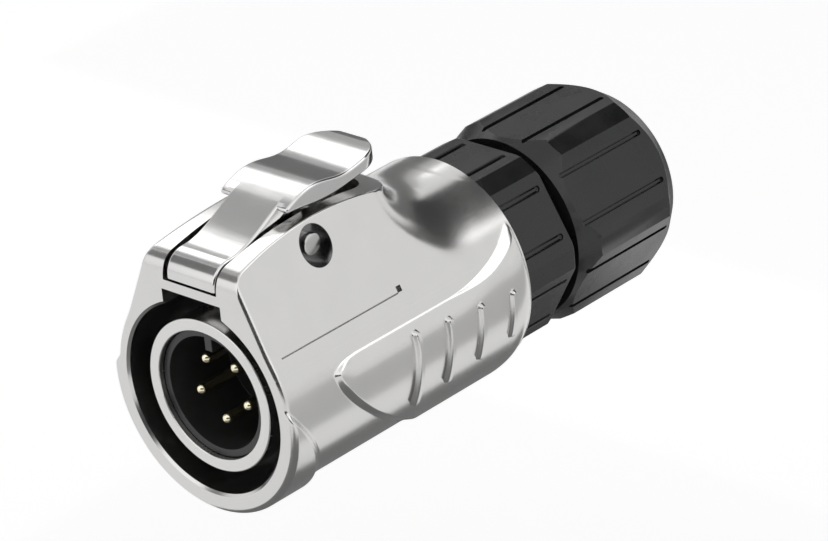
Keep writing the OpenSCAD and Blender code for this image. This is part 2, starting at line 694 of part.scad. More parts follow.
// Pin with a round tip, thicker body and an open solder cup
module contact(i) color("Gold") at_contact(i) difference() {
    union() {
        bar(contact_d/2, contact_setback + contact_d/2, insert_end);
        translate([0, contact_setback + contact_d/2, 0]) sphere(d = contact_d, $fn = 32);
        bar(contact_body_d/2, cup_floor + contact_body_d, insert_end);
        bar(solder_d/2, insert_end, insert_end + solder_len);
    }
    bar(solder_d/2 - solder_wall, insert_end + solder_wall, insert_end + solder_len + over);
    translate([-solder_d, insert_end + solder_len/2, solder_d/2 - solder_wall])
        cube([2*solder_d, solder_len, solder_d]);
}
module contact_1() contact(1);
module contact_2() contact(2);
module contact_3() contact(3);
module contact_4() contact(4);
module contact_5() contact(5);

module retaining_ring() color("DarkGray")
    ring(rear_thread_r - run_fit, rear_thread_r - ring_wall, insert_end, ring_end);

/* Seals */

module mating_gasket() color("Black")
    ring(mouth_r - seal_gap, shank_r + seal_gap, gasket_front, mouth_depth);

module seal(wire_r, mid_r, y)
    translate([0, y, 0]) along_y() rotate_extrude() translate([mid_r, 0]) circle(r = wire_r, $fn = 32);
module barrel_o_ring() color("Black")
    seal(barrel_seal_r, shank_r + barrel_seal_r + seal_gap, barrel_groove_y);
module rear_o_ring() color("Black")
    seal(rear_seal_r, rear_thread_r + rear_seal_r - seal_gap/2, shell_len - rear_seal_r - seal_gap);

/* Rear body and nut */

// Hexagon with facetted corners and two grooves along each flat, from one place to another
module hex_prism(flat, corner, y0, y1, g0, g1)
    difference() {
        translate([0, y0, 0]) along_y() intersection() {
            cylinder(r = flat/cos(30), h = y1 - y0, $fn = 6);
            rotate([0, 0, 30]) cylinder(r = corner/cos(30), h = y1 - y0, $fn = 6);
        }
        for (a = [30:60:330]) rotate([0, -a, 0])
            for (s = [-1, 1]) translate([flat - groove_depth, 0, s*groove_off]) rotate([0, 90, 0])
                linear_extrude(over) union() {
                    translate([-groove_w/2, g0 + groove_w/2]) square([groove_w, g1 - g0 - groove_w]);
                    for (y = [g0 + groove_w/2, g1 - groove_w/2])
                        translate([0, y]) circle(d = groove_w, $fn = 24);
                }
    }

module rear_body() color([0.16, 0.16, 0.16]) difference() {
    union() {
        intersection() {
            hex_prism(rear_flat, rear_corner, hex_front, hex_end,
                hex_front - over, hex_end - groove_margin);
            turned([[0, 0], [rear_corner + over, 0], [rear_corner + over, hex_end - 2*rear_bevel],
                [rear_bevel_r, hex_end], [0, hex_end]]);
        }
        bar(rear_thread_r - thread_gap, spigot_front, hex_front + rear_hex_len/2);
        bar(nut_thread_r, hex_end - rear_hex_len/2, thread_end);
    }
    bar(rear_bore_r, spigot_front - over, thread_end + over);
    bar(collet_seat_r, collet_front, thread_end + over);
}

nut_bore_r = nut_thread_r + thread_gap;
nut_taper_front = thread_end + nut_gap/2;
// Both cones are drawn a little past the corners that they cut
nut_corner_half = (nut_corner - nut_flat*cos(30))/sin(30);
nut_corner_r = norm([nut_flat, nut_corner_half]);
cone_past = 1.2;
nut_edge_y = nut_end - nut_rear_bevel;
module nut_turned()
    turned([[0, nut_front], [nut_front_r, nut_front],
        [nut_front_r + cone_past*(nut_corner_r - nut_front_r), nut_front + cone_past*nut_cone_len],
        [nut_rear_r + cone_past*(nut_corner_r - nut_rear_r), nut_edge_y - cone_past*nut_rear_len],
        [nut_rear_r, nut_edge_y], [nut_rear_r - nut_rear_bevel, nut_end], [0, nut_end]]);
module gland_nut() color([0.16, 0.16, 0.16]) difference() {
    intersection() {
        hex_prism(nut_flat, nut_corner, nut_front, nut_end, nut_front + groove_margin,
            nut_edge_y - nut_rear_len + groove_margin/2);
        nut_turned();
    }
    turned([[0, nut_front - over], [nut_bore_r, nut_front - over], [nut_bore_r, nut_taper_front],
        [seat_r + clamp_gap, nut_taper_front + nut_gap], [seat_r + clamp_gap, washer_end],
        [0, washer_end]]);
    bar(cable_hole_r, washer_end - over, nut_end + over);
    turned([[0, nut_end - nut_gap/2], [cable_hole_r, nut_end - nut_gap/2],
        [cable_hole_r + nut_gap, nut_end + nut_gap/2], [0, nut_end + nut_gap/2]]);
}

/* Cable clamp */

module clamp_collet() color("WhiteSmoke") difference() {
    turned([[collet_bore_r, collet_front], [collet_r, collet_front], [collet_r, finger_front],
        [finger_tip_r, finger_end], [collet_bore_r, finger_end]]);
    for (i = [0:finger_count - 1]) rotate([0, 360/finger_count*i, 0])
        translate([0, finger_front - finger_slot, -finger_slot/2])
            cube([far, collet_finger + over, finger_slot]);
}

module cable_grommet() color("DarkSlateGray")
    ring(grommet_r, cable_r, grommet_front, finger_end);

module slip_washer() color("Ivory") ring(seat_r, cable_hole_r, washer_front, washer_end);

shell();
latch_lever();
latch_pin();
latch_spring();
plug_barrel();
contact_insert();
contact_1();
contact_2();
contact_3();
contact_4();
contact_5();
mating_gasket();
barrel_o_ring();
retaining_ring();
rear_body();
rear_o_ring();
clamp_collet();
cable_grommet();
slip_washer();
gland_nut();
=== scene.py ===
"""Latched circular plug with a cable gland, under studio light and from the photograph's camera."""
import math

import bmesh
import bpy
import numpy as np
from mathutils import Matrix, Vector

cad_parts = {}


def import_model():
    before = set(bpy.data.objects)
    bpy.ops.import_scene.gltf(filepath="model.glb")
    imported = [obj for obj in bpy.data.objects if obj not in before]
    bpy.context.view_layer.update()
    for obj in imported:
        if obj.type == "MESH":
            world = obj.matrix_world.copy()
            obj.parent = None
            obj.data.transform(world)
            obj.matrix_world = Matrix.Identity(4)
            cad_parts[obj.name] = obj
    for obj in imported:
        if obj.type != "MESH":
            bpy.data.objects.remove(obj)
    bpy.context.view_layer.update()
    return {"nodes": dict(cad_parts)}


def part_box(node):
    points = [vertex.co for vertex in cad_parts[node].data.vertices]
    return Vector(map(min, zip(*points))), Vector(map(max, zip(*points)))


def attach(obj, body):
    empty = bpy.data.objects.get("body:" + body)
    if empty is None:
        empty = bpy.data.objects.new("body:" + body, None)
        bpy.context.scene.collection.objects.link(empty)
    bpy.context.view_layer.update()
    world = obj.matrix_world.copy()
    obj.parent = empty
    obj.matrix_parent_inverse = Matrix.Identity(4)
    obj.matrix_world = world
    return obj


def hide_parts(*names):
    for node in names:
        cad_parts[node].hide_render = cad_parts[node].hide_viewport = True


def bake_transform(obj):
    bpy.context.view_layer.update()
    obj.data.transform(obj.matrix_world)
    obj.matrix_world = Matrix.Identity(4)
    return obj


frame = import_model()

MM = 0.001
scene = bpy.context.scene


# Sizes in millimetres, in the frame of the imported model

AXIS_MID = Vector((0, 22, 0))
# Distance at which points count as one, and overcut of a subtracted solid
WELD, OVER = 0.0001, 1

# Shell: barrel, collar, flats, tower and the hollow behind it
BODY_R, SHELL_LEN, REAR_ROUND, FRONT_ROUND = 9, 27.5, 0.4, 0.5
COLLAR_R, COLLAR_LEN, COLLAR_SWEEP_R, COLLAR_SWEEP_Z, COLLAR_EDGE = 9.5, 5.3, 18.8, -11.4, 1.0
FLAT_D, FLAT_FROM_TOP = 8.95, math.radians(65)
TOWER_Z, CROWN_Y, CROWN_R, TOWER_FRONT_R = 12.43, 10, 36, 1.8
COVE_LEN, COVE_RISE, COVE_END_Y, COVE_FOOT_R, COVE_EDGE_R = 6.6, 3.1, 25.3, 8.9, 3
# Blends of the flats with the crown, of the tower with the hollow and of the tower with the barrel
CROWN_BLEND, COVE_BLEND, TOWER_BLEND = 0.08, 0.2, 0.2
# A place outside the part
FAR = 3*BODY_R

# Grip panels: outline, widths of the edges, and the low upper edge with the roll-off behind it
PANEL_R, PANEL_TIP_Y, PANEL_TIP_Z, PANEL_TOP_Z, PANEL_NOSE = 9.37, 5.4, 2, 2.95, 3.1
PANEL_RISE_Y, PANEL_RISE_R, PANEL_SWEEP, PANEL_POWER = 18.5, 16, 0.31, 1.57
PANEL_REAR_LEN, PANEL_REAR_DROP = 2, 0.6
PANEL_LOWER_EDGE, PANEL_UPPER_EDGE, PANEL_RISE_EDGE, PANEL_WIDEN = 0.5, 0.11, 0.8, 6
PANEL_UPPER_SHARE, PANEL_ROLL, PANEL_TIP_LEN = 0.12, 2.4, 2.2
# Largest share of the rising edge's radius that is followed, and the radius at which heights are taken
RISE_REACH, MEAN_R = 0.9, 0.5*(BODY_R + PANEL_R)
RIB_Y, RIB_PITCH, RIB_COUNT, RIB_W, RIB_H, RIB_FALL, RIB_WALL = 14.02, 3.66, 4, 0.72, 0.46, 0.06, 0.16
RIB_TOP, RIB_BOTTOM, RIB_STEP, RIB_TAPER, RIB_LEAN = 11.3, 23.2, 2.3, 1.05, math.radians(4)

# Shell: mouth, bores, pocket and pin recesses
MOUTH_R, MOUTH_DEPTH, MOUTH_BEVEL = 7.85, 9.5, 0.2
KEYWAY_HALF_W, KEYWAY_Z, KEYWAY_DEPTH = 3.05, 8.55, 6
SHANK_HOLE_R, SEAL_GROOVE_R, SEAL_GROOVE_Y, SEAL_GROOVE_HALF = 6.59, 7.41, 10.75, 0.43
WEB_END, REAR_THREAD_R, REAR_SEAT_R, REAR_SEAT_LEN = 12, 7.4, 8.09, 0.72
POCKET_HALF_W, POCKET_Z, POCKET_END_Y, POCKET_CORNER_R, POCKET_STEPS = 2.78, 9.35, 17.3, 2.1, 16
WINDOW_HALF_W, WINDOW_Y0, WINDOW_Y1 = 2.08, 1.6, 5
PIVOT_Y, PIVOT_Z, PIN_HOLE_R = 8.73, 10.54, 0.77
PIN_RECESS_R, PIN_RECESS_X, PIN_RECESS_SIDES = 1.55, 3.9, 72
BOSS_HOLLOW_R, SPRING_Y, SPRING_HOLLOW_R, SPRING_SEAT_Z = 1.58, 12.6, 1.58, 8.85
# Engraved line and square pit on the right-hand flat: stretch along the axis, stretch up the flat, depth
LINE_Y, LINE_UP, LINE_DEPTH = (1.4, 14.25), (1.2, 1.32), 0.1
SQUARE_Y, SQUARE_UP, SQUARE_DEPTH = (14.25, 14.75), (1.28, 1.78), 0.9

# Rows of the shell's mesh: stops (place, step), places beside a rib's edge, steps between and behind ribs
RIB_MARGIN = 1
FRONT_ROWS = ((0, 0.04), (0.52, 0.14), (2, 0.12), (3, 0.08), (6, 0.12))
RIB_ROWS = (0.45, 0.25, 0.12, 0.04, 0.01, -0.03, -0.07, -0.11, -0.15, -0.18, -0.24)
ROW_BETWEEN, ROW_BEHIND, ROW_END, END_ROWS_Y = 0.17, 0.12, 0.07, 27
# Columns: stops (degrees from the top, step); one column follows the upper edge of a flat
EDGE_FROM, EDGE_COLUMN, EDGE_TO, EDGE_BAND = 10, 19, 34, 0.3
# Limits of that edge, as shares of the angles between which columns are turned
EDGE_LEAST, EDGE_MOST = 1.2, 0.95
TOP_COLUMNS = ((0, 2), (EDGE_FROM, 0.5), (EDGE_COLUMN - EDGE_BAND, 0.1), (EDGE_COLUMN + EDGE_BAND, 0.6),
               (EDGE_TO, 1.4))
RIGHT_COLUMNS, LEFT_COLUMNS = ((60, 0.6), (125, 2.5)), ((60, 1.1), (125, 3))
# Where rows lean with the ribs: ramps (start, end) at both limits, in degrees from the top and along the axis
LEAN_ANGLES, LEAN_PLACES = ((60, 72), (122, 132)), ((11.5, 13), (25.9, 27.2))

# Hinge pin, lever and spring
PIN_R, PIN_HEAD_R, PIN_END_X, PIN_EDGE, PIN_GAP, PIN_SIDES = 0.75, 0.88, 4.6, 0.12, 0.02, 64
# Share of an edge's width that is cut at the middle of its rounding
PIN_EDGE_MID = 0.3
LEVER_HALF_W, LEVER_T, LEVER_ROUND, LEVER_ROUND_STEPS = 2.5, 1.15, 0.22, 5
# The strip's top stands a little proud of the pad's front and then sinks below it
STRIP_PROUD, STRIP_SINK, STRIP_TAIL, STRIP_STEP = 0.012, 0.045, 2.2, 0.2
NOSE_Y, NOSE_Z, NOSE_R, LEVER_LOW_Z, NOSE_LAST, NOSE_RINGS = 0.12, 9.5, 1.8, 11.5, 92, 14
HUMP_Y, HUMP_Z, DIP_Y, DIP_DEPTH, CURL_Y, CURL_RISE = 10.75, 14.5, 14, 0.4, 17.6, 0.48
PAD_HALF_W, PAD_Y0, PAD_Y1, PAD_CORNER_R, PAD_T = 3.5, 7.5, 18.85, 3, 1.18
PAD_UNDER_Z, PAD_UNDER_Y, PAD_UNDER_RISE = 12.86, 12, 0.34
PAD_STEP, PAD_CORNER_STEP, PAD_END_STEP, PAD_END_LEN = 0.2, 0.12, 0.02, 0.3
# Share of the full rounding at the pad's ends, so that its end rings keep an area
PAD_END_SHARE = 0.98
SLOPE_STEP = 0.01
BOSS_R, BOSS_HALF_W, BOSS_STEPS, LEVER_BORE_R = 1.3, 2.36, 24, 0.79
HOOK_HALF_W, HOOK_Y0, HOOK_Y1, HOOK_Z = 1.8, 2.15, 3.55, 7.7
SPRING_COIL_R, SPRING_WIRE_R, SPRING_TURNS, SPRING_STEPS, SPRING_SIDES = 1.1, 0.2, 5, 36, 12

# Thread, hexagons and their grooves
THREAD_R, THREAD_DEPTH, THREAD_PITCH, THREAD_STEPS = 6.6, 0.4, 1.0, 48
THREAD_PAST, THREAD_TOP_HALF, THREAD_ROOT_HALF = 0.12, 0.42, 0.12
THREAD_Y0, THREAD_Y1 = 33.2, 41.6
HEX_SIDES, REAR_FLAT, REAR_GROOVE_END = 6, 7.6, 32.9
NUT_FLAT, NUT_GROOVE_START, NUT_GROOVE_END = 7.93, 35.65, 45.1
GROOVE_OFF, GROOVE_HALF, GROOVE_DEPTH, SLIT_W, SLIT_DEPTH = 2.1, 0.2, 0.22, 0.1, 0.25

# Widths of small roundings
BARREL_EDGE, MOULDED_EDGE = 0.12, 0.08
# Angles between faces: below the first they make one flat, and above the second their edge is rounded
FLAT_ANGLE, EDGE_ANGLE = math.radians(0.6), math.radians(32)
# Degrees above which an edge is shaded as sharp, and the pull of large faces on the shading
SHARP_ANGLE, LEVER_SHARP, SPRING_SHARP, FACET_SHARP = 30, 35, 50, 14
LARGE_FACE_WEIGHT = 80


# Camera: the photograph's frame and the pose that was fitted to it

FRAME_W = 828
FOCAL_PX = 4564
SENSOR = 36
AZIMUTH, ELEVATION, ROLL = 44.32, 25.77, -5.43
ASIDE, UPWARD, DISTANCE = 15.89, 9.70, 342.9
CLIP_NEAR, CLIP_FAR = 0.01, 50


def camera():
    az, el, roll = (math.radians(a) for a in (AZIMUTH, ELEVATION, ROLL))
    right = Vector((math.cos(az), math.sin(az), 0))
    back = Vector((math.sin(az)*math.cos(el), -math.cos(az)*math.cos(el), math.sin(el)))
    up = back.cross(right)
    x = math.cos(roll)*right + math.sin(roll)*up
    y = math.cos(roll)*up - math.sin(roll)*right
    place = (ASIDE*x + UPWARD*y + DISTANCE*back)*MM
    data = bpy.data.cameras.new("photo_camera")
    data.sensor_width = SENSOR
    data.lens = FOCAL_PX/FRAME_W*SENSOR
    data.clip_start, data.clip_end = CLIP_NEAR, CLIP_FAR
    obj = bpy.data.objects.new("photo_camera", data)
    turn = Matrix((x, y, back)).transposed().to_4x4()
    obj.matrix_world = Matrix.Translation(place) @ turn
    scene.collection.objects.link(obj)
    scene.camera = obj


# Materials: noises are (per millimetre, detail), and heights are in millimetres

PLATED_CLOUDS, PLATED_GRAIN, PLATED_RIPPLE = (0.35, 4), (9, 2), 0.0003
PLATED_SHADE, CLOUD_ROUGH, GRAIN_ROUGH = 0.97, 0.015, 0.03
MOULDED_CLOUDS, MOULDED_PITS = (0.3, 4), (5.5, 3)
MOULDED_LIGHTER, MOULDED_LIFT, MOULDED_ROUGH = 1.35, 0.002, 0.05
PAINTED_RECESS_SHADE = (0.24, 0.24, 0.24)
# Painted shade in the recess round the pin, a darker metal colour: place, height and radius
SPOT_MARGIN = 0.02
PIN_SHADE_SPOT = (PIVOT_Y, PIVOT_Z, PIN_RECESS_R + SPOT_MARGIN)


def new_material(name, **values):
    """A material whose even values are set on the shader's own sockets."""
    mat = bpy.data.materials.new(name)
    mat.use_nodes = True
    shader = mat.node_tree.nodes["Principled BSDF"]
    for key, value in values.items():
        shader.inputs[key.replace("_", " ")].default_value = value
    return mat, mat.node_tree, shader


def node(tree, kind, settings=None, **inputs):
    made = tree.nodes.new(kind)
    for key, value in (settings or {}).items():
        setattr(made, key, value)
    for key, value in inputs.items():
        made.inputs[key].default_value = value
    return made


def stretched(tree, scale):
    """Object coordinates in millimetres, squeezed by a scale on each axis."""
    place = node(tree, "ShaderNodeTexCoord")
    mapped = node(tree, "ShaderNodeMapping", Scale=[s/MM for s in scale])
    tree.links.new(place.outputs["Object"], mapped.inputs["Vector"])
    return mapped.outputs["Vector"]


def noise(tree, per_mm, detail, stretch=(1, 1, 1)):
    made = node(tree, "ShaderNodeTexNoise", Scale=per_mm, Detail=detail)
    tree.links.new(stretched(tree, stretch), made.inputs["Vector"])
    return made.outputs["Fac"]


def between(tree, factor, low, high, at=(0.3, 0.7)):
    """Value that goes from low to high as the factor crosses a range."""
    made = node(tree, "ShaderNodeMapRange")
    for key, value in (("From Min", at[0]), ("From Max", at[1]), ("To Min", low), ("To Max", high)):
        made.inputs[key].default_value = value
    tree.links.new(factor, made.inputs["Value"])
    return made.outputs["Result"]


def blended(tree, factor, dark, light):
    made = node(tree, "ShaderNodeMix", {"data_type": "RGBA"}, A=(*dark, 1), B=(*light, 1))
    tree.links.new(factor, made.inputs["Factor"])
    return made.outputs["Result"]


def grain(tree, shader, layers):
    """Bump of several heights: (factor, height in mm)."""
    last = None
    for factor, height in layers:
        bump = node(tree, "ShaderNodeBump", Strength=1.0, Distance=height*MM)
        tree.links.new(factor, bump.inputs["Height"])
        if last:
            tree.links.new(last, bump.inputs["Normal"])
        last = bump.outputs["Normal"]
    tree.links.new(last, shader.inputs["Normal"])


def round_spot(tree, y, z, r):
    """1 within a radius of an axis along x, and 0 outside."""
    split = node(tree, "ShaderNodeSeparateXYZ")
    tree.links.new(stretched(tree, (1, 1, 1)), split.inputs[0])
    flat = node(tree, "ShaderNodeCombineXYZ")
    tree.links.new(split.outputs["Y"], flat.inputs["Y"])
    tree.links.new(split.outputs["Z"], flat.inputs["Z"])
    away = node(tree, "ShaderNodeVectorMath", {"operation": "DISTANCE"})
    tree.links.new(flat.outputs[0], away.inputs[0])
    away.inputs[1].default_value = (0, y, z)
    inside = node(tree, "ShaderNodeMath", {"operation": "LESS_THAN"})
    tree.links.new(away.outputs["Value"], inside.inputs[0])
    inside.inputs[1].default_value = r
    return inside.outputs[0]


def plated(name, tone, rough, brushed=(1, 1, 1), shade_spot=None):
    """Satin plating: fine grain, cloudy gloss and a trace of unevenness; painted shade in a round spot."""
    mat, tree, shader = new_material(name, Metallic=1.0)
    clouds = noise(tree, *PLATED_CLOUDS)
    fine = noise(tree, *PLATED_GRAIN, brushed)
    dark = [PLATED_SHADE*c for c in tone]
    colour = blended(tree, between(tree, clouds, 0, 1), dark, tone)
    # Painted shade: a darker grey inside the round spot of the pin's recess
    if shade_spot:
        painted_shade = node(tree, "ShaderNodeMix", {"data_type": "RGBA"}, B=(*PAINTED_RECESS_SHADE, 1))
        tree.links.new(round_spot(tree, *shade_spot), painted_shade.inputs["Factor"])
        tree.links.new(colour, painted_shade.inputs["A"])
        colour = painted_shade.outputs["Result"]
    tree.links.new(colour, shader.inputs["Base Color"])
    total = node(tree, "ShaderNodeMath", {"operation": "ADD"})
    tree.links.new(between(tree, clouds, rough - CLOUD_ROUGH, rough + CLOUD_ROUGH), total.inputs[0])
    tree.links.new(between(tree, fine, -GRAIN_ROUGH, GRAIN_ROUGH), total.inputs[1])
    tree.links.new(total.outputs[0], shader.inputs["Roughness"])
    grain(tree, shader, [(fine, PLATED_RIPPLE), (clouds, 2*PLATED_RIPPLE)])
    return mat


def moulded(name, tone, rough, height=0.004):
    """Moulded plastic or rubber with a fine spark-eroded texture."""
    mat, tree, shader = new_material(name, Specular_IOR_Level=0.5)
    clouds = noise(tree, *MOULDED_CLOUDS)
    pits = noise(tree, *MOULDED_PITS)
    lighter = [MOULDED_LIGHTER*c + MOULDED_LIFT for c in tone]
    colour = blended(tree, between(tree, clouds, 0, 1), tone, lighter)
    tree.links.new(colour, shader.inputs["Base Color"])
    gloss = between(tree, clouds, rough - MOULDED_ROUGH, rough + MOULDED_ROUGH)
    tree.links.new(gloss, shader.inputs["Roughness"])
    grain(tree, shader, [(pits, height), (clouds, 2*height)])
    return mat


MATERIALS = {
    # The shell's plating carries painted shade in the pin's recesses
    "plated_shell": plated("plated_shell", (0.63, 0.625, 0.615), 0.2, shade_spot=PIN_SHADE_SPOT),
    "plated_lever": plated("plated_lever", (0.64, 0.635, 0.63), 0.15, (0.05, 1, 1)),
    "plated_barrel": plated("plated_barrel", (0.66, 0.655, 0.645), 0.24, (1, 0.3, 1)),
    "pin_steel": plated("pin_steel", (0.58, 0.58, 0.57), 0.22),
    "gold_contact": plated("gold_contact", (0.88, 0.81, 0.6), 0.2),
    "black_plastic": moulded("black_plastic", (0.006, 0.0063, 0.0064), 0.28),
    "satin_black_plastic": moulded("satin_black_plastic", (0.016, 0.016, 0.016), 0.36, 0.003),
    "pale_plastic": moulded("pale_plastic", (0.66, 0.64, 0.6), 0.45),
    "black_rubber": moulded("black_rubber", (0.014, 0.014, 0.015), 0.6, 0.006),
}

SLOT_OF = {
    "shell": "plated_shell",
    "latch_lever": "plated_lever",
    "latch_pin": "pin_steel",
    "latch_spring": "pin_steel",
    "plug_barrel": "plated_barrel",
    "retaining_ring": "plated_barrel",
    "contact_insert": "satin_black_plastic",
    "rear_body": "black_plastic",
    "gland_nut": "black_plastic",
    "clamp_collet": "pale_plastic",
    "slip_washer": "pale_plastic",
    "mating_gasket": "black_rubber",
    "barrel_o_ring": "black_rubber",
    "rear_o_ring": "black_rubber",
    "cable_grommet": "black_rubber",
}
CONTACTS = [name for name in frame["nodes"] if name.startswith("contact_") and name[-1].isdigit()]
SLOT_OF.update({name: "gold_contact" for name in CONTACTS})


# Meshes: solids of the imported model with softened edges, and new closed solids

def paint(obj, slot):
    obj.data.materials.clear()
    obj.data.materials.append(MATERIALS[slot])


def merged(name):
    """A node's solid with its seams welded and its flats joined."""
    bm = bmesh.new()
    bm.from_mesh(frame["nodes"][name].data)
    bmesh.ops.remove_doubles(bm, verts=bm.verts, dist=WELD*MM)
    bmesh.ops.dissolve_limit(bm, angle_limit=FLAT_ANGLE, verts=bm.verts, edges=bm.edges)
    return bm


def linked(bm, name):
    """The mesh as a new object in the scene."""
    bm.normal_update()
    mesh = bpy.data.meshes.new(name)
    bm.to_mesh(mesh)
    bm.free()
    mesh.shade_smooth()
    obj = bpy.data.objects.new(name, mesh)
    scene.collection.objects.link(obj)
    return obj


def applied(obj, name, kind, **settings):
    step = obj.modifiers.new(name, kind)
    for key, value in settings.items():
        setattr(step, key, value)
    with bpy.context.temp_override(object=obj, active_object=obj):
        bpy.ops.object.modifier_apply(modifier=name)


def stand_in(obj, source, body):
    """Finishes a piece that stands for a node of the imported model."""
    weighted = obj.modifiers.new("flat_normals", "WEIGHTED_NORMAL")
    weighted.keep_sharp = True
    weighted.weight = LARGE_FACE_WEIGHT
    paint(obj, SLOT_OF[source])
    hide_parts(source)
    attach(obj, body)
    return obj


def softened(source, body, width):
    """A node with a small even rounding on its sharp edges."""
    bm = merged(source)
    sharp = [e for e in bm.edges if len(e.link_faces) == 2 and e.calc_face_angle(0) > EDGE_ANGLE]
    bmesh.ops.bevel(bm, geom=sharp, offset=width*MM, offset_type="OFFSET", segments=2, profile=0.5,
                    affect="EDGES", clamp_overlap=True, loop_slide=True)
    return stand_in(linked(bm, source + "_finished"), source, body)


def solid(points, faces, name="solid"):
    """Closed mesh from points in millimetres."""
    mesh = bpy.data.meshes.new(name)
    mesh.from_pydata([tuple(c*MM for c in p) for p in points], [], faces)
    bm = bmesh.new()
    bm.from_mesh(mesh)
    bmesh.ops.recalc_face_normals(bm, faces=bm.faces)
    bm.to_mesh(mesh)
    bm.free()
    obj = bpy.data.objects.new(name, mesh)
    scene.collection.objects.link(obj)
    return obj


def skinned(rings, name="solid"):
    """Closed solid through rings of equally many points, with flat ends."""
    n = len(rings[0])
    points = [p for ring in rings for p in ring]
    faces = [(i*n + k, i*n + (k + 1) % n, (i + 1)*n + (k + 1) % n, (i + 1)*n + k)
             for i in range(len(rings) - 1) for k in range(n)]
    last = (len(rings) - 1)*n
    return solid(points, faces + [tuple(range(n)), tuple(range(last, last + n))], name)


def full_turn(count):
    return [2*math.pi*k/count for k in range(count)]


def lathed(profile, sides=160):
    """Solid of revolution about the plug's axis from points (radius, place), which start and end on it."""
    turns = full_turn(sides)
    return skinned([[(max(r, WELD)*math.sin(t), y, max(r, WELD)*math.cos(t)) for t in turns]
                    for r, y in profile])


def prism(outline, low, high, axis):
    """Outline of two coordinates, extended along the third axis."""
    place = {"X": lambda p, d: (d, p[0], p[1]), "Z": lambda p, d: (p[0], p[1], d)}[axis]
    return skinned([[place(p, d) for p in outline] for d in (low, high)])


def box(x, y, z):
    return prism([(x[0], y[0]), (x[1], y[0]), (x[1], y[1]), (x[0], y[1])], z[0], z[1], "Z")


def arc(centre, r, first, last, count):
    turns = [math.radians(first + (last - first)*i/count) for i in range(count + 1)]
    return [(centre[0] + r*math.cos(t), centre[1] + r*math.sin(t)) for t in turns]


def circle(centre, r, count=48):
    return arc(centre, r, 0, 360*(count - 1)/count, count - 1)


def combine(obj, other, operation="DIFFERENCE"):
    """Adds the other solid to the piece or takes it out, and removes it."""
    applied(obj, "combine", "BOOLEAN", operation=operation, solver="MANIFOLD", object=other)
    bpy.data.objects.remove(other)


def crisp(obj, angle=SHARP_ANGLE):
    """Smooth faces with sharp edges where they meet at more than an angle."""
    obj.data.shade_smooth()
    obj.data.set_sharp_from_angle(angle=math.radians(angle))


def spaced(*stops, end):
    """Values from each stop (place, step) up to the next one, and the end."""
    values = []
    for (start, step), stop in zip(stops, [place for place, _ in stops[1:]] + [end]):
        count = max(1, round((stop - start)/step))
        values += [start + (stop - start)*i/count for i in range(count)]
    return values + [end]


# Shell: its outside is a radius over the angle from the top and the place along the axis

# Least cosine that a height or a flat's distance is divided by
COS_LEAST = 0.3
COVE_HALVINGS = 30
BEVEL_SOFT = 0.12


def smooth_max(a, b, k):
    h = np.clip(0.5 + 0.5*(a - b)/k, 0, 1)
    return b + (a - b)*h + k*h*(1 - h)


def smooth_min(a, b, k):
    return -smooth_max(-a, -b, k)


def ease(x):
    x = np.clip(x, 0, 1)
    return x*x*(3 - 2*x)


def window(x, rise, fall):
    """1 between two ramps (start, end) and 0 outside them."""
    return ease((x - rise[0])/(rise[1] - rise[0]))*ease((fall[1] - x)/(fall[1] - fall[0]))


def bevel(x):
    """Straight slope from 0 to 1 with small roundings at both ends."""
    return smooth_min(smooth_max(x, np.zeros_like(x), BEVEL_SOFT), np.ones_like(x), BEVEL_SOFT)


def fillet(x, r):
    """Drop of a quarter-round edge of radius r at a distance x from its end."""
    return r - np.sqrt(r*r - np.clip(r - x, 0, r)**2)


def crown_height(y):
    low = TOWER_Z - CROWN_R
    span = CROWN_R - TOWER_FRONT_R
    front_z = low + math.sqrt(span**2 - (CROWN_Y - TOWER_FRONT_R)**2)
    join = TOWER_FRONT_R*(1 - (CROWN_Y - TOWER_FRONT_R)/span)
    front = front_z + np.sqrt(np.maximum(TOWER_FRONT_R**2 - (TOWER_FRONT_R - y)**2, 0))
    return np.where(y < join, front, low + np.sqrt(CROWN_R**2 - (y - CROWN_Y)**2))


def cove_radius(flat_cos, y):
    """Radius of the hollow behind the tower, which turns forward towards the flats."""
    low, high = np.full_like(y, COVE_FOOT_R), FLAT_D/flat_cos
    for _ in range(COVE_HALVINGS):
        r = 0.5*(low + high)
        drop = fillet(FLAT_D - r*flat_cos, COVE_EDGE_R)
        back = np.clip(COVE_END_Y - y - drop, 0, COVE_LEN)
        hollow = COVE_FOOT_R + COVE_RISE*(1 - np.sqrt(1 - (back/COVE_LEN)**2))
        inner = (back < COVE_LEN) & (r > hollow)
        low, high = np.where(inner, low, r), np.where(inner, r, high)
    return high


def tower_radius(a, y):
    flat_cos = np.maximum(np.cos(a - FLAT_FROM_TOP), COS_LEAST)
    top = crown_height(y)/np.maximum(np.cos(a), COS_LEAST)
    walls = smooth_min(FLAT_D/flat_cos, top, CROWN_BLEND)
    return np.where(a < FLAT_FROM_TOP, smooth_min(walls, cove_radius(flat_cos, y), COVE_BLEND), 0)


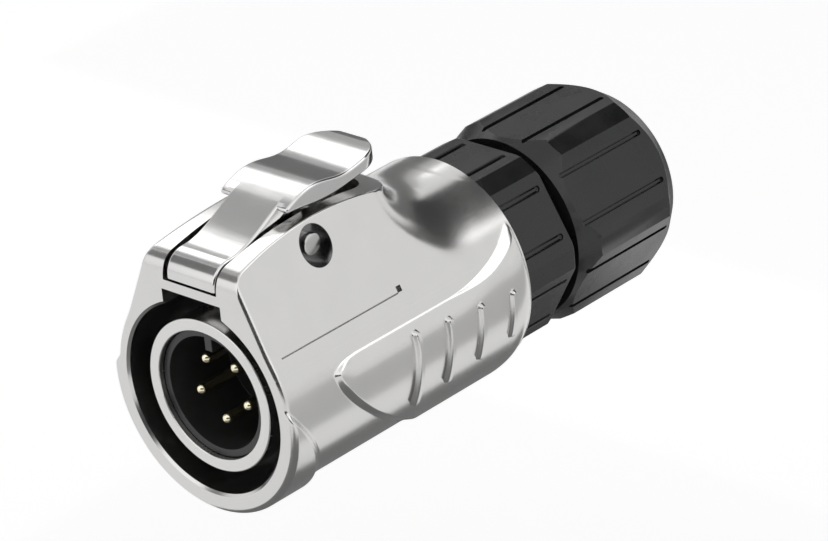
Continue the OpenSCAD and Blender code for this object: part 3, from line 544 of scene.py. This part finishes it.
def panel_share(y, z):
    """0 outside the grip panel and 1 on it; its upper edge is low, and higher at the nose and the rise."""
    drop = np.maximum(PANEL_TIP_Z - z, 0)
    slope = PANEL_SWEEP*PANEL_POWER*drop**(PANEL_POWER - 1)
    lower = (y - PANEL_TIP_Y - PANEL_SWEEP*drop**PANEL_POWER)/np.sqrt(1 + slope**2)
    past = np.clip(y - PANEL_RISE_Y, 0, RISE_REACH*PANEL_RISE_R)
    upper = PANEL_TOP_Z + PANEL_RISE_R - np.sqrt(PANEL_RISE_R**2 - past**2) - z
    nose_rise = PANEL_TOP_Z - PANEL_TIP_Z
    ahead = np.maximum(PANEL_TIP_Y + PANEL_NOSE - y, 0)/PANEL_NOSE
    above = np.maximum(z - PANEL_TIP_Z, 0)/nose_rise
    reach = np.hypot(ahead, above)
    spread = np.hypot(ahead/PANEL_NOSE, above/nose_rise)
    nose = (1 - reach)*reach/np.maximum(spread, WELD)
    inside = np.minimum(np.where((ahead > 0) & (above > 0), nose, upper), upper)
    tip, rise = 1 - ease((y - PANEL_TIP_Y)/PANEL_TIP_LEN), ease(past/PANEL_WIDEN)
    width = (PANEL_UPPER_EDGE + (PANEL_LOWER_EDGE - PANEL_UPPER_EDGE)*tip
             + (PANEL_RISE_EDGE - PANEL_UPPER_EDGE)*rise)
    step = PANEL_UPPER_SHARE + (1 - PANEL_UPPER_SHARE)*(tip + rise)
    roll = 1 - (1 - np.clip(inside/PANEL_ROLL, 0, 1))**2
    high = step*bevel(inside/width) + (1 - step)*roll
    return np.where(z < PANEL_TIP_Z, np.minimum(bevel(lower/PANEL_LOWER_EDGE), high), high)


def rib_height(y, z):
    """Height of the grip ribs above the panel, round-ended and a little leaning."""
    height = np.zeros_like(y)
    for i in range(RIB_COUNT):
        along = y - RIB_Y - RIB_PITCH*i
        aside = along*math.cos(RIB_LEAN) - z*math.sin(RIB_LEAN)
        up = along*math.sin(RIB_LEAN) + z*math.cos(RIB_LEAN)
        low = -PANEL_R*math.sin(math.radians(RIB_BOTTOM - RIB_STEP*RIB_TAPER*i))
        high = PANEL_R*math.sin(math.radians(RIB_TOP - RIB_STEP*i))
        inside = RIB_W/2 - np.hypot(aside, up - np.clip(up, low, high))
        height = np.maximum(height, (RIB_H - RIB_FALL*i)*bevel(inside/RIB_WALL))
    return height


def shell_radius(angle, y):
    a = np.abs(angle)
    body = BODY_R - fillet(SHELL_LEN - y, REAR_ROUND)
    z = MEAN_R*np.cos(a)
    rear = np.clip(1 - (SHELL_LEN - y)/PANEL_REAR_LEN, 0, 1)
    panel = PANEL_R - PANEL_REAR_DROP*(1 - np.sqrt(1 - rear**2))
    skin = body + (panel - body)*panel_share(y, z) + rib_height(y, z)
    sweep = np.maximum(COLLAR_SWEEP_R**2 - (z - COLLAR_SWEEP_Z)**2, 0)
    edge = COLLAR_LEN - COLLAR_SWEEP_R + np.sqrt(sweep)
    skin = np.maximum(skin, BODY_R + (COLLAR_R - BODY_R)*ease((edge - y)/COLLAR_EDGE))
    return smooth_max(skin, tower_radius(a, y), TOWER_BLEND) - fillet(y, FRONT_ROUND)


def rib_lean(a, y):
    """Shift of the mesh rows that makes them follow the leaning ribs."""
    near = window(np.degrees(np.abs(a)), *LEAN_ANGLES)*window(y, *LEAN_PLACES)
    return near*MEAN_R*np.cos(a)*math.tan(RIB_LEAN)


def edge_lean(a, y):
    """Turn of the mesh columns that makes one of them follow the upper edge of a flat."""
    top = crown_height(np.clip(y, 0, SHELL_LEN))
    edge = np.arctan2(FLAT_D - top*math.cos(FLAT_FROM_TOP), top*math.sin(FLAT_FROM_TOP))
    first, middle, last = (math.radians(c) for c in (EDGE_FROM, EDGE_COLUMN, EDGE_TO))
    off = np.abs(a)
    share = np.where(off < middle, (off - first)/(middle - first), (last - off)/(last - middle))
    return np.sign(a)*np.clip(share, 0, 1)*(np.clip(edge, EDGE_LEAST*first, EDGE_MOST*last) - middle)


def shell_rows():
    """Places of the mesh rows, close together at the front edge, the panel's nose and the ribs."""
    beside = [RIB_W/2 + d for d in RIB_ROWS]
    rows = spaced(*FRONT_ROWS, end=RIB_Y - RIB_MARGIN)
    for i in range(RIB_COUNT):
        middle = RIB_Y + RIB_PITCH*i
        rows += [middle - d for d in beside] + [middle] + [middle + d for d in beside[::-1]]
        if i < RIB_COUNT - 1:
            rows += spaced((middle + RIB_MARGIN, ROW_BETWEEN), end=middle + RIB_PITCH - RIB_MARGIN)
    return rows + spaced((rows[-1] + ROW_BEHIND, ROW_BEHIND), (END_ROWS_Y, ROW_END), end=SHELL_LEN)


def shell_columns():
    """Angles of the mesh columns from the top, down the right-hand side and up the left-hand one."""
    right = spaced(*TOP_COLUMNS, *RIGHT_COLUMNS, end=180)
    left = spaced(*TOP_COLUMNS, *LEFT_COLUMNS, end=180)
    return [math.radians(c) for c in right] + [-math.radians(c) for c in left[-2:0:-1]]


def shell_blank():
    """The shell's outside as a closed solid."""
    a, y = np.meshgrid(shell_columns(), shell_rows())
    y = y + rib_lean(a, y)
    a = a + edge_lean(a, y)
    r = shell_radius(a, y)
    points = np.stack([r*np.sin(a), y, r*np.cos(a)], -1)
    return skinned(points.tolist(), "shell_finished")


def flat_cut(along, across, depths):
    """Cut in the right-hand flat: stretch along the axis, stretch up the flat, depth at both long sides."""
    turn = math.pi/2 - FLAT_FROM_TOP
    out, up = (math.cos(turn), math.sin(turn)), (-math.sin(turn), math.cos(turn))
    bottom = [(FLAT_D - depth, u) for u, depth in zip(across, depths)]
    section = bottom + [(FLAT_D + OVER, u) for u in across[::-1]]
    return skinned([[(d*out[0] + u*up[0], y, d*out[1] + u*up[1]) for d, u in section] for y in along])


def shell_bores():
    """Mouth, shank hole with its seal groove, rear thread and seal seat as one turned solid."""
    groove_y = (SEAL_GROOVE_Y - SEAL_GROOVE_HALF, SEAL_GROOVE_Y + SEAL_GROOVE_HALF)
    seat_y = SHELL_LEN - REAR_SEAT_LEN
    return lathed([(0, -MOUTH_BEVEL), (MOUTH_R + 2*MOUTH_BEVEL, -MOUTH_BEVEL), (MOUTH_R, MOUTH_BEVEL),
                   (MOUTH_R, MOUTH_DEPTH), (SHANK_HOLE_R, MOUTH_DEPTH),
                   (SHANK_HOLE_R, groove_y[0]), (SEAL_GROOVE_R, groove_y[0]),
                   (SEAL_GROOVE_R, groove_y[1]), (SHANK_HOLE_R, groove_y[1]),
                   (SHANK_HOLE_R, WEB_END), (REAR_THREAD_R, WEB_END), (REAR_THREAD_R, seat_y),
                   (REAR_SEAT_R, seat_y), (REAR_SEAT_R, SHELL_LEN + OVER), (0, SHELL_LEN + OVER)])


def pocket():
    """Pocket between the tower's walls, open to the front and the top."""
    corner_x, corner_y = POCKET_HALF_W - POCKET_CORNER_R, POCKET_END_Y - POCKET_CORNER_R
    return prism([(-POCKET_HALF_W, -OVER), (POCKET_HALF_W, -OVER),
                  *arc((corner_x, corner_y), POCKET_CORNER_R, 0, 90, POCKET_STEPS),
                  *arc((-corner_x, corner_y), POCKET_CORNER_R, 90, 180, POCKET_STEPS)], POCKET_Z, FAR, "Z")


def shell():
    obj = shell_blank()
    pivot = (PIVOT_Y, PIVOT_Z)
    combine(obj, shell_bores())
    combine(obj, box((-KEYWAY_HALF_W, KEYWAY_HALF_W), (-OVER, KEYWAY_DEPTH), (0, KEYWAY_Z)))
    combine(obj, pocket())
    combine(obj, box((-WINDOW_HALF_W, WINDOW_HALF_W), (WINDOW_Y0, WINDOW_Y1), (0, FAR)))
    combine(obj, prism(circle(pivot, BOSS_HOLLOW_R), -POCKET_HALF_W, POCKET_HALF_W, "X"))
    combine(obj, prism(circle((0, SPRING_Y), SPRING_HOLLOW_R), SPRING_SEAT_Z, FAR, "Z"))
    combine(obj, prism(circle(pivot, PIN_HOLE_R), -FAR, FAR, "X"))
    for side in (-1, 1):
        recess = circle(pivot, PIN_RECESS_R, PIN_RECESS_SIDES)
        combine(obj, prism(recess, side*PIN_RECESS_X, side*FAR, "X"))
    combine(obj, flat_cut(LINE_Y, LINE_UP, (0, LINE_DEPTH)))
    combine(obj, flat_cut(SQUARE_Y, SQUARE_UP, (SQUARE_DEPTH, SQUARE_DEPTH)))
    crisp(obj)
    stand_in(obj, "shell", "plug")


# Latch: lever swept along its top's curve with rounded edges, hinge pin and spring

def wave(u):
    return 0.5 - 0.5*math.cos(math.pi*min(max(u, 0), 1))


def lever_top(y):
    ramp = NOSE_Y + NOSE_R
    if y < HUMP_Y:
        return LEVER_LOW_Z + (HUMP_Z - LEVER_LOW_Z)*wave((y - ramp)/(HUMP_Y - ramp))
    if y < DIP_Y:
        return HUMP_Z - DIP_DEPTH*wave((y - HUMP_Y)/(DIP_Y - HUMP_Y))
    return HUMP_Z - DIP_DEPTH + CURL_RISE*wave((y - DIP_Y)/(CURL_Y - DIP_Y))


def pad_under(y):
    if y < PAD_UNDER_Y:
        return PAD_UNDER_Z + PAD_UNDER_RISE*wave((PAD_UNDER_Y - y)/(PAD_UNDER_Y - PAD_Y0))
    end = lever_top(PAD_Y1) - PAD_T
    return PAD_UNDER_Z + (end - PAD_UNDER_Z)*wave((y - PAD_UNDER_Y)/(CURL_Y - PAD_UNDER_Y))


def bar_section(top, under, half_w, inset=0.0):
    """Round-cornered section between two points (place, height), as wide as given."""
    top, under = Vector(top), Vector(under)
    up = (top - under).normalized()
    half_t = (top - under).length/2 - inset
    middle, half_w = (top + under)/2, half_w - inset
    r = min(LEVER_ROUND, half_t, half_w)
    ring = []
    for corner, (sx, sz) in enumerate(((1, 1), (-1, 1), (-1, -1), (1, -1))):
        centre = (sx*(half_w - r), sz*(half_t - r))
        for x, t in arc(centre, r, 90*corner, 90*corner + 90, LEVER_ROUND_STEPS):
            p = middle + t*up
            ring.append((x, p.x, p.y))
    return ring


def strip_rings():
    """Sections of the lever's strip: upright nose, its bend, and the ramp into the pad."""
    centre = (NOSE_Y + NOSE_R, LEVER_LOW_Z - NOSE_R)
    rings = [bar_section((NOSE_Y, NOSE_Z), (NOSE_Y + LEVER_T, NOSE_Z), LEVER_HALF_W)]
    outer_arc, inner_arc = (arc(centre, r, 180, NOSE_LAST, NOSE_RINGS) for r in (NOSE_R, NOSE_R - LEVER_T))
    for outer, inner in zip(outer_arc, inner_arc):
        rings.append(bar_section(outer, inner, LEVER_HALF_W))
    for y in spaced((NOSE_Y + NOSE_R, STRIP_STEP), end=PAD_Y0 + STRIP_TAIL):
        slope = (lever_top(y + SLOPE_STEP) - lever_top(y - SLOPE_STEP))/(2*SLOPE_STEP)
        down = Vector((slope, -1)).normalized()*LEVER_T
        top = lever_top(y) + STRIP_PROUD - STRIP_SINK*max(y - PAD_Y0 - 2*LEVER_ROUND, 0)/STRIP_TAIL
        rings.append(bar_section((y, top), (y + down.x, top + down.y), LEVER_HALF_W))
    return rings


def pad_rings():
    """Sections of the push pad, rounded in at both ends."""
    corner_y = PAD_Y1 - PAD_CORNER_R
    rings = []
    for y in spaced((PAD_Y0, PAD_END_STEP), (PAD_Y0 + LEVER_ROUND, PAD_STEP), (corner_y, PAD_CORNER_STEP),
                    (PAD_Y1 - PAD_END_LEN, PAD_END_STEP), end=PAD_Y1):
        half_w = PAD_HALF_W
        if y > corner_y:
            half_w += math.sqrt(max(PAD_CORNER_R**2 - (y - corner_y)**2, 0)) - PAD_CORNER_R
        inset = PAD_END_SHARE*float(fillet(y - PAD_Y0, LEVER_ROUND) + fillet(PAD_Y1 - y, LEVER_ROUND))
        rings.append(bar_section((y, lever_top(y)), (y, pad_under(y)), half_w, inset))
    return rings


def lever():
    obj = skinned(strip_rings(), "latch_lever_finished")
    combine(obj, skinned(pad_rings()), "UNION")
    pivot = (PIVOT_Y, PIVOT_Z)
    boss_top = lever_top(PIVOT_Y) - LEVER_T/2
    boss = [(PIVOT_Y + BOSS_R, boss_top), *arc(pivot, BOSS_R, 0, -180, BOSS_STEPS),
            (PIVOT_Y - BOSS_R, boss_top - LEVER_T/2)]
    combine(obj, prism(boss, -BOSS_HALF_W, BOSS_HALF_W, "X"), "UNION")
    hook_top = LEVER_LOW_Z - LEVER_T/2
    hook = [(HOOK_Y0, hook_top), (HOOK_Y0, POCKET_Z), ((HOOK_Y0 + HOOK_Y1)/2, HOOK_Z), (HOOK_Y1, HOOK_Z),
            (HOOK_Y1, hook_top)]
    combine(obj, prism(hook, -HOOK_HALF_W, HOOK_HALF_W, "X"), "UNION")
    combine(obj, prism(circle(pivot, LEVER_BORE_R), -BODY_R, BODY_R, "X"))
    crisp(obj, LEVER_SHARP)
    stand_in(obj, "latch_lever", "latch")


def pin():
    """Hinge pin with a head in each recess of the shell."""
    mid_edge = PIN_EDGE_MID*PIN_EDGE
    neck_x = PIN_RECESS_X + PIN_GAP
    half = [(0, PIN_END_X), (PIN_HEAD_R - PIN_EDGE, PIN_END_X), (PIN_HEAD_R - mid_edge, PIN_END_X - mid_edge),
            (PIN_HEAD_R, PIN_END_X - PIN_EDGE), (PIN_HEAD_R, neck_x), (PIN_R, neck_x)]
    profile = half + [(r, -x) for r, x in half[::-1]]
    turns = full_turn(PIN_SIDES)
    rings = [[(x, PIVOT_Y + max(r, WELD)*math.cos(t), PIVOT_Z + max(r, WELD)*math.sin(t)) for t in turns]
             for r, x in profile]
    obj = skinned(rings, "latch_pin_finished")
    crisp(obj)
    stand_in(obj, "latch_pin", "plug")


def spring():
    """Coil that stands on the shell and reaches up to the lever, as tall as the model's spring."""
    low, high = (corner.z/MM for corner in map(Vector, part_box("latch_spring")))
    low, high = low + SPRING_WIRE_R, high - SPRING_WIRE_R
    count = SPRING_TURNS*SPRING_STEPS
    section = full_turn(SPRING_SIDES)
    rings = []
    for i in range(count + 1):
        turn, z = 2*math.pi*i/SPRING_STEPS, low + (high - low)*i/count
        reach = [(SPRING_COIL_R + SPRING_WIRE_R*math.cos(b), z + SPRING_WIRE_R*math.sin(b)) for b in section]
        rings.append([(r*math.cos(turn), SPRING_Y + r*math.sin(turn), height) for r, height in reach])
    obj = skinned(rings, "latch_spring_finished")
    crisp(obj, SPRING_SHARP)
    paint(obj, SLOT_OF["latch_spring"])
    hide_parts("latch_spring")
    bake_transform(obj)


# Cable gland: grooved hexagons and the thread between them

def thread_groove():
    """Solid of the V-shaped groove that runs round the rear body's thread."""
    outer, root = THREAD_R + THREAD_PAST, THREAD_R - THREAD_DEPTH
    section = ((outer, -THREAD_TOP_HALF), (outer, THREAD_TOP_HALF),
               (root, THREAD_ROOT_HALF), (root, -THREAD_ROOT_HALF))
    count = int((THREAD_Y1 - THREAD_Y0)/THREAD_PITCH*THREAD_STEPS)
    rings = []
    for i in range(count + 1):
        turn, y = 2*math.pi*i/THREAD_STEPS, THREAD_Y0 + (THREAD_Y1 - THREAD_Y0)*i/count
        rings.append([(r*math.cos(turn), y + d, r*math.sin(turn)) for r, d in section])
    return skinned(rings)


def groove_slits(flat, y0, y1):
    """Narrow deep slits along both sides of the grooves in the flats of a hexagon."""
    points, faces = [], []
    box_faces = ((0, 1, 2, 3), (4, 5, 6, 7), (0, 1, 5, 4), (1, 2, 6, 5), (2, 3, 7, 6), (3, 0, 4, 7))
    for k in range(HEX_SIDES):
        turn = math.pi*(2*k + 1)/HEX_SIDES
        out = Vector((math.cos(turn), 0, math.sin(turn)))
        up = Vector((-math.sin(turn), 0, math.cos(turn)))
        for side, edge in ((-1, -1), (-1, 1), (1, -1), (1, 1)):
            outer = side*GROOVE_OFF + edge*GROOVE_HALF
            inner = outer - edge*SLIT_W
            first = len(points)
            for d in (flat - GROOVE_DEPTH - SLIT_DEPTH, flat + OVER):
                for y, u in ((y0, outer), (y1, outer), (y1, inner), (y0, inner)):
                    points.append(tuple(d*out + u*up + Vector((0, y, 0))))
            faces += [tuple(first + i for i in face) for face in box_faces]
    return solid(points, faces)


def rear_body():
    obj = softened("rear_body", "plug", MOULDED_EDGE)
    combine(obj, thread_groove())
    combine(obj, groove_slits(REAR_FLAT, SHELL_LEN - OVER, REAR_GROOVE_END))
    crisp(obj, FACET_SHARP)


def gland_nut():
    obj = softened("gland_nut", "nut", MOULDED_EDGE)
    combine(obj, groove_slits(NUT_FLAT, NUT_GROOVE_START, NUT_GROOVE_END))
    crisp(obj, FACET_SHARP)


camera()
shell()
lever()
softened("plug_barrel", "plug", BARREL_EDGE)
softened("contact_insert", "plug", MOULDED_EDGE)
pin()
spring()
rear_body()
gland_nut()
for name, slot in SLOT_OF.items():
    paint(frame["nodes"][name], slot)


# Studio: pale floor, soft boxes, and boards of several greys that only reflections see

FLOOR_Z, FLOOR_SIZE, FLOOR_TONE, FLOOR_GLOW = -45, 6000, 0.92, 0.34
STAGE_ROUGH = 0.7
# Strength of the world as light on the object, and where it is seen
WORLD_LIGHT, WORLD_SEEN = 0.55, 1.0


def plain(name, size, place, tone):
    """Level rectangle of one grey."""
    mesh = bpy.data.meshes.new(name)
    w, h = (0.5*s*MM for s in size)
    mesh.from_pydata([(-w, -h, 0), (w, -h, 0), (w, h, 0), (-w, h, 0)], [], [(0, 1, 2, 3)])
    obj = bpy.data.objects.new(name, mesh)
    obj.location = [c*MM for c in place]
    scene.collection.objects.link(obj)
    mat, tree, shader = new_material(name, Base_Color=(tone, tone, tone, 1), Roughness=STAGE_ROUGH)
    mesh.materials.append(mat)
    return obj, tree, shader


def seen_rays(tree):
    """1 for camera, mirror and glass rays."""
    rays = node(tree, "ShaderNodeLightPath")
    total = rays.outputs["Is Camera Ray"]
    for key in ("Is Glossy Ray", "Is Transmission Ray"):
        most = node(tree, "ShaderNodeMath", {"operation": "MAXIMUM"})
        tree.links.new(total, most.inputs[0])
        tree.links.new(rays.outputs[key], most.inputs[1])
        total = most.outputs[0]
    return total


def floor():
    _, tree, shader = plain("floor", (FLOOR_SIZE, FLOOR_SIZE), (0, 0, FLOOR_Z), FLOOR_TONE)
    shader.inputs["Emission Color"].default_value = (1, 1, 1, 1)
    glow = node(tree, "ShaderNodeMath", {"operation": "MULTIPLY"})
    glow.inputs[1].default_value = FLOOR_GLOW
    tree.links.new(seen_rays(tree), glow.inputs[0])
    tree.links.new(glow.outputs[0], shader.inputs["Emission Strength"])


def world():
    made = bpy.data.worlds.new("studio")
    scene.world = made
    made.use_nodes = True
    tree = made.node_tree
    shader = tree.nodes["Background"]
    shader.inputs["Color"].default_value = (1, 1, 1, 1)
    strength = between(tree, seen_rays(tree), WORLD_LIGHT, WORLD_SEEN, (0, 1))
    tree.links.new(strength, shader.inputs["Strength"])


def board(name, size, place, tone, aim=AXIS_MID):
    """Grey board that faces a point, seen in reflections alone."""
    obj, _, _ = plain(name, size, place, tone)
    obj.rotation_euler = (Vector(aim) - Vector(place)).to_track_quat("Z", "Y").to_euler()
    obj.visible_camera = obj.visible_diffuse = obj.visible_shadow = False


def floor_board(name, size, x, y, tone):
    """Grey board that lies just above the floor."""
    board(name, size, (x, y, FLOOR_Z + 1), tone, (x, y, 0))


def soft_box(name, size, place, watts):
    data = bpy.data.lights.new(name, "AREA")
    data.shape = "RECTANGLE"
    data.size, data.size_y = (s*MM for s in size)
    data.energy = watts
    obj = bpy.data.objects.new(name, data)
    obj.location = [c*MM for c in place]
    obj.rotation_euler = (AXIS_MID - Vector(place)).to_track_quat("-Z", "Y").to_euler()
    obj.visible_camera = False
    scene.collection.objects.link(obj)


world()
floor()
board("board_back", (700, 170), (-230, 330, 75), 0.25)
board("board_tip", (300, 110), (-330, 330, 240), 0.8)
board("board_rear", (315, 370), (72, 320, 270), 0.03, (72, 0, 270))
board("board_left", (130, 150), (-190, -110, 205), 0.3)
board("board_ramp", (70, 150), (-195, 8, 240), 0.75)
board("board_camera", (560, 240), (270, -300, 100), 0.03)
# Dark board under the object: painted shade of the floor beneath it, seen only in reflections
floor_board("shade_board_under", (74, 56), -23, 47, 0.27)
floor_board("board_nut", (120, 180), -80, 200, 0.1)
floor_board("board_side", (254, 260), 173, 170, 0.8)
floor_board("board_low", (105, 100), 22, -20, 0.25)
soft_box("box_left", (260, 80), (-260, 185, 275), 0.12)
soft_box("box_right", (520, 520), (380, -60, 320), 0.3)
soft_box("box_front", (520, 520), (-120, -420, 260), 0.3)
soft_box("box_rise", (150, 200), (232, 220, 290), 0.12)

scene.view_settings.view_transform = "Standard"
